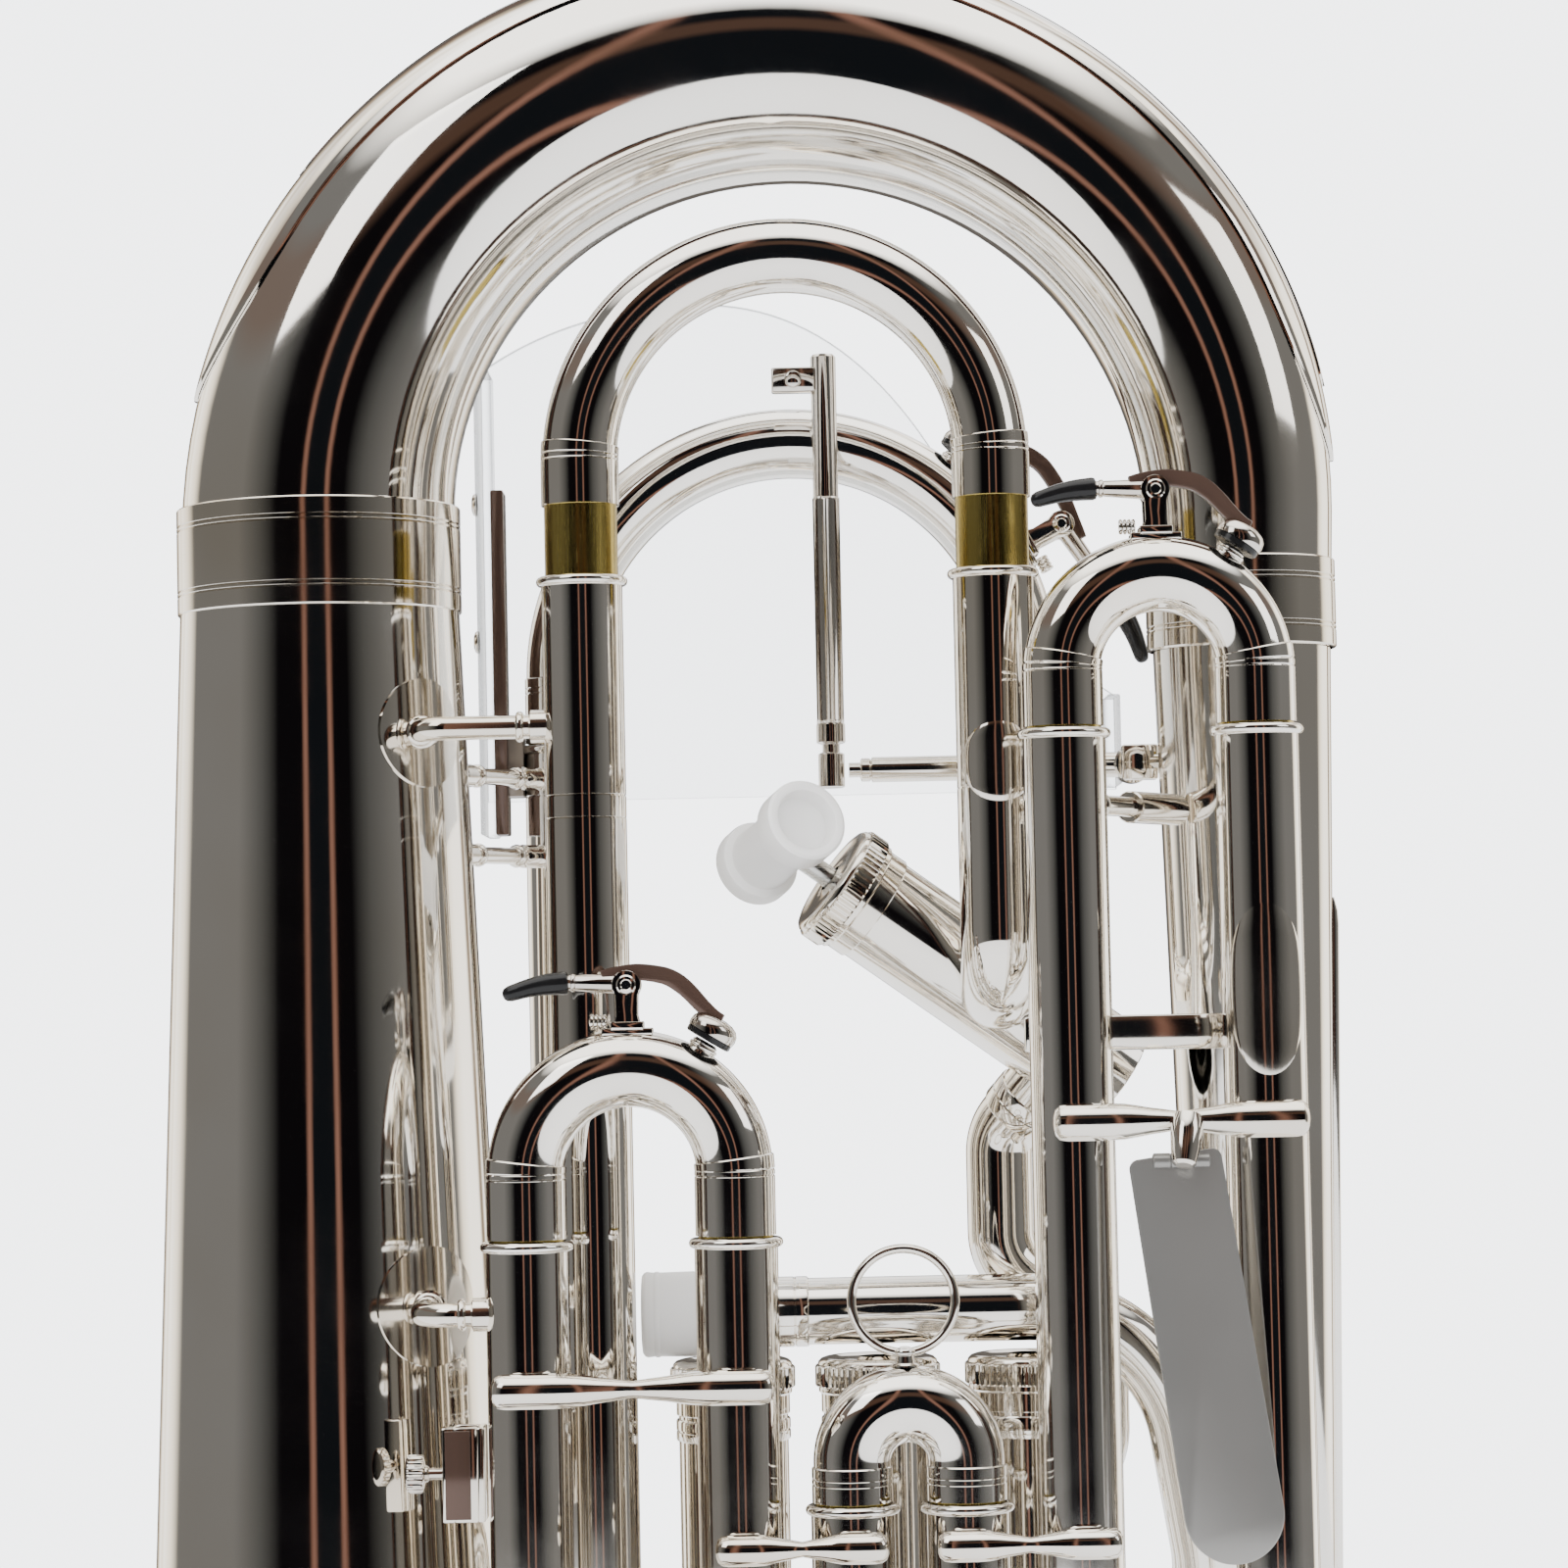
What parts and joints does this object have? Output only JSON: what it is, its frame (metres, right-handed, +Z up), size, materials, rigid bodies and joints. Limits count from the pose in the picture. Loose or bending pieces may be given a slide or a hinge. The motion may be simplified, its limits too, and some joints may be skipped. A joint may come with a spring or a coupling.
{
  "type": "euphonium",
  "caption": "Silver-plated compensating euphonium standing on its bell, with pull slides, pistons, water keys, slide trigger and clear hand guard.",
  "frame": {"origin": "under the middle of the bounding box, on the surface the bell rim stands on", "axes": "+Z up the bell branch to the bottom bow, +X from the bell branch to the small branch, -Y to the front slides"},
  "size_m": [0.3848, 0.31, 0.6628],
  "materials": {
    "silver_plate": "polished silver plate",
    "nickel_plate": "polished nickel plate",
    "bare_brass": "unplated drawn brass",
    "steel": "ground nickel alloy",
    "black_rubber": "dipped black rubber",
    "white_plastic": "translucent white polythene",
    "clear_acrylic": "clear polished acrylic"
  },
  "bodies": {
    "frame": {"bell": "silver_plate", "bell_ferrule": "silver_plate", "bottom_bow": "silver_plate", "bow_guard": "silver_plate", "branch_ferrule": "silver_plate", "small_branch": "silver_plate", "top_bow": "silver_plate", "valve_casing_1": "silver_plate", "valve_casing_2": "silver_plate", "valve_casing_3": "silver_plate", "valve_casing_4": "silver_plate", "valve_bottom_cap_1": "silver_plate", "valve_bottom_cap_2": "silver_plate", "valve_bottom_cap_3": "silver_plate", "valve_top_cap_1": "silver_plate", "valve_top_cap_2": "silver_plate", "valve_top_cap_3": "silver_plate", "valve_top_cap_4": "silver_plate", "valve_guard": "white_plastic", "first_slide_tube_left": "silver_plate", "first_slide_tube_right": "silver_plate", "second_slide_tube_left": "silver_plate", "second_slide_tube_right": "silver_plate", "third_slide_tube_left": "silver_plate", "third_slide_tube_right": "silver_plate", "fourth_slide_tube_left": "silver_plate", "fourth_slide_tube_right": "silver_plate", "main_slide_tube_left": "silver_plate", "main_slide_tube_right": "silver_plate", "leadpipe": "silver_plate", "crossover_tube": "silver_plate", "wave_brace_first": "silver_plate", "wave_brace_middle_left": "silver_plate", "wave_brace_middle_right": "silver_plate", "wave_brace_third": "silver_plate", "flat_brace_bar": "silver_plate", "bell_brace_upper": "silver_plate", "bell_brace_lower": "silver_plate", "lyre_box": "silver_plate", "hand_guard": "clear_acrylic", "guard_bar": "nickel_plate", "crank_bracket": "silver_plate"},
    "main_slide": {"main_slide": "silver_plate", "trigger_rod": "nickel_plate"},
    "fourth_slide": {"fourth_slide": "silver_plate"},
    "first_slide": {"first_slide": "silver_plate"},
    "second_slide": {"second_slide": "silver_plate", "pull_ring": "silver_plate"},
    "third_slide": {"third_slide": "silver_plate"},
    "piston_1": {"piston_1": "steel"},
    "piston_2": {"piston_2": "steel"},
    "piston_3": {"piston_3": "steel"},
    "piston_4": {"piston_4": "steel"},
    "water_key_first": {"water_key_first": "nickel_plate"},
    "water_key_third": {"water_key_third": "nickel_plate"},
    "water_key_main": {"water_key_main": "nickel_plate"},
    "trigger_crank": {"trigger_crank": "silver_plate"},
    "trigger_paddle": {"trigger_paddle": "nickel_plate"},
    "lyre_screw": {"lyre_screw": "nickel_plate"},
    "receiver_cap": {"receiver_cap": "white_plastic"}
  },
  "joints": [
    {"name": "main_slide_pull", "type": "slide", "parent": "frame", "child": "main_slide", "axis": [0, 0, 1], "range_m": [0, 0.03]},
    {"name": "fourth_slide_pull", "type": "slide", "parent": "frame", "child": "fourth_slide", "axis": [0, 0, 1], "range_m": [-0.015, 0.03]},
    {"name": "first_slide_pull", "type": "slide", "parent": "frame", "child": "first_slide", "axis": [0, 0, 1], "range_m": [0, 0.05]},
    {"name": "second_slide_pull", "type": "slide", "parent": "frame", "child": "second_slide", "axis": [0, 0, 1], "range_m": [0, 0.025]},
    {"name": "third_slide_pull", "type": "slide", "parent": "frame", "child": "third_slide", "axis": [0, 0, 1], "range_m": [0, 0.06]},
    {"name": "piston_1_press", "type": "slide", "parent": "frame", "child": "piston_1", "axis": [0, 0, 1], "range_m": [0, 0.017], "stiffness_N_per_m": 120, "springref_m": -0.015},
    {"name": "piston_2_press", "type": "slide", "parent": "frame", "child": "piston_2", "axis": [0, 0, 1], "range_m": [0, 0.017], "stiffness_N_per_m": 120, "springref_m": -0.015},
    {"name": "piston_3_press", "type": "slide", "parent": "frame", "child": "piston_3", "axis": [0, 0, 1], "range_m": [0, 0.017], "stiffness_N_per_m": 120, "springref_m": -0.015},
    {"name": "piston_4_press", "type": "slide", "parent": "frame", "child": "piston_4", "axis": [0.8002, 0.17, -0.5751], "range_m": [0, 0.0025], "stiffness_N_per_m": 120, "springref_m": -0.015},
    {"name": "water_key_first_turn", "type": "hinge", "parent": "first_slide", "child": "water_key_first", "pos_m": [0.03255, -0.056, 0.4276], "axis": [0, -1, 0], "range_deg": [0, 12], "stiffness_Nm_per_rad": 0.06, "springref_deg": -20.05},
    {"name": "water_key_third_turn", "type": "hinge", "parent": "third_slide", "child": "water_key_third", "pos_m": [0.14645, -0.056, 0.53], "axis": [0, -1, 0], "range_deg": [0, 12], "stiffness_Nm_per_rad": 0.06, "springref_deg": -20.05},
    {"name": "water_key_main_turn", "type": "hinge", "parent": "main_slide", "child": "water_key_main", "pos_m": [0.13247, 0.036, 0.53301], "axis": [0, 1, 0], "range_deg": [0, 10], "stiffness_Nm_per_rad": 0.06, "springref_deg": -20.05},
    {"name": "trigger_crank_turn", "type": "hinge", "parent": "frame", "child": "trigger_crank", "pos_m": [0.14665, 0.0215, 0.476], "axis": [0, 1, 0], "range_deg": [0, 28]},
    {"name": "trigger_paddle_turn", "type": "hinge", "parent": "frame", "child": "trigger_paddle", "pos_m": [0.14765, -0.0673, 0.3886], "axis": [-1, 0, 0], "range_deg": [0, 26]},
    {"name": "lyre_screw_turn", "type": "hinge", "parent": "frame", "child": "lyre_screw", "pos_m": [-0.00395, -0.047, 0.325], "axis": [1, 0, 0], "range_deg": [-180, 180]},
    {"name": "receiver_cap_pull", "type": "slide", "parent": "frame", "child": "receiver_cap", "axis": [-1, 0, 0], "range_m": [0, 0.02]}
  ],
  "couplings": [
    {"joint": "trigger_crank_turn", "follows": "main_slide_pull", "rad_per_m": 16},
    {"joint": "trigger_paddle_turn", "follows": "main_slide_pull", "rad_per_m": 15}
  ]
}
